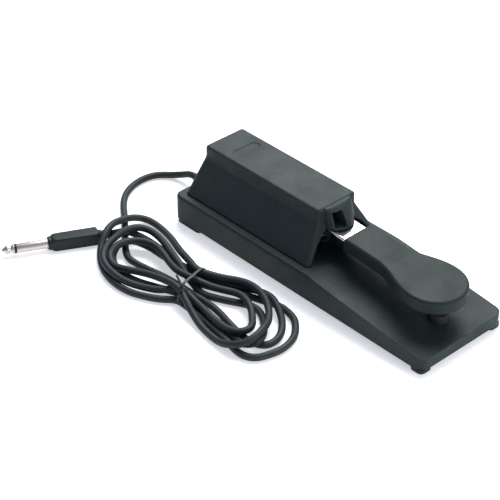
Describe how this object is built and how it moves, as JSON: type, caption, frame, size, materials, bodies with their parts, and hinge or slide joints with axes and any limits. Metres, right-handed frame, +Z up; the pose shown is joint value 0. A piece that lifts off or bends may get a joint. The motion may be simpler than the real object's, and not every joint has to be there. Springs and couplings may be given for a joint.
{
  "type": "sustain pedal",
  "caption": "Piano-style sustain foot pedal: sprung chrome lever with a rubber paddle over a wedge base, and a cord with a phone plug.",
  "frame": {"origin": "on the floor, below the middle of the base", "axes": "+Z up, -Y towards the toe end of the paddle, +Y towards the cord, +X across the pedal"},
  "size_m": [0.1889, 0.2845, 0.0565],
  "materials": {
    "base_plastic": "fine moulded texture",
    "housing_plastic": "fine moulded texture",
    "paddle_rubber": "fine matte texture",
    "lever_chrome": "polished chrome plate",
    "plate_steel": "black painted steel",
    "foot_rubber": "matte",
    "stop_rubber": "matte",
    "zinc_steel": "zinc plated",
    "spring_steel": "bright drawn wire",
    "nylon": "natural",
    "switch_plastic": "satin",
    "switch_red": "satin",
    "contact_brass": "tinned",
    "cord_pvc": "satin jacket",
    "wire_red": "satin",
    "wire_black": "satin",
    "tie_grey": "matte",
    "plug_nickel": "nickel plate",
    "plug_black": "satin"
  },
  "bodies": {
    "chassis": {"base_shell": "base_plastic", "bottom_plate": "plate_steel", "plate_screws": "zinc_steel", "foot_front_left": "foot_rubber", "foot_front_right": "foot_rubber", "foot_rear_left": "foot_rubber", "foot_rear_right": "foot_rubber", "down_stop": "stop_rubber", "rest_stop": "stop_rubber", "housing": "housing_plastic", "housing_screws": "zinc_steel", "pivot_bracket": "zinc_steel", "bracket_screws": "zinc_steel", "pivot_pin": "zinc_steel", "pivot_clips": "spring_steel", "return_spring": "spring_steel", "switch_body": "switch_plastic", "switch_bracket": "zinc_steel", "switch_screws": "zinc_steel", "switch_blades": "contact_brass", "wire_signal": "wire_red", "wire_ground": "wire_black", "cord_entry": "cord_pvc", "cord_clamp": "nylon", "clamp_screws": "zinc_steel", "strain_relief": "cord_pvc", "cord_tail": "cord_pvc", "cord_hank": "cord_pvc", "hank_tie": "tie_grey", "plug_tip": "plug_nickel", "plug_insulator": "plug_black", "plug_sleeve": "plug_nickel", "plug_barrel": "plug_black"},
    "pedal": {"lever": "lever_chrome", "lever_bushes": "nylon", "paddle": "paddle_rubber"},
    "switch_leaf_body": {"switch_leaf": "spring_steel"},
    "switch_plunger_body": {"switch_plunger": "switch_red"}
  },
  "joints": [
    {"name": "pedal_press", "type": "hinge", "parent": "chassis", "child": "pedal", "pos_m": [0, 0.062, 0.0405], "axis": [1, 0, 0], "range_deg": [0, 3.8], "stiffness_Nm_per_rad": 14, "springref_deg": -6.88, "deforming": ["return_spring"]},
    {"name": "leaf_tilt", "type": "hinge", "parent": "chassis", "child": "switch_leaf_body", "pos_m": [0.0097, 0.053, 0.0339], "axis": [1, 0, 0], "range_deg": [0, 6]},
    {"name": "plunger_press", "type": "slide", "parent": "chassis", "child": "switch_plunger_body", "axis": [0, 0, -1], "range_m": [0, 0.0008]}
  ],
  "couplings": [
    {"joint": "leaf_tilt", "follows": "pedal_press", "ratio": 1.5},
    {"joint": "plunger_press", "follows": "pedal_press", "m_per_rad": 0.0105}
  ]
}
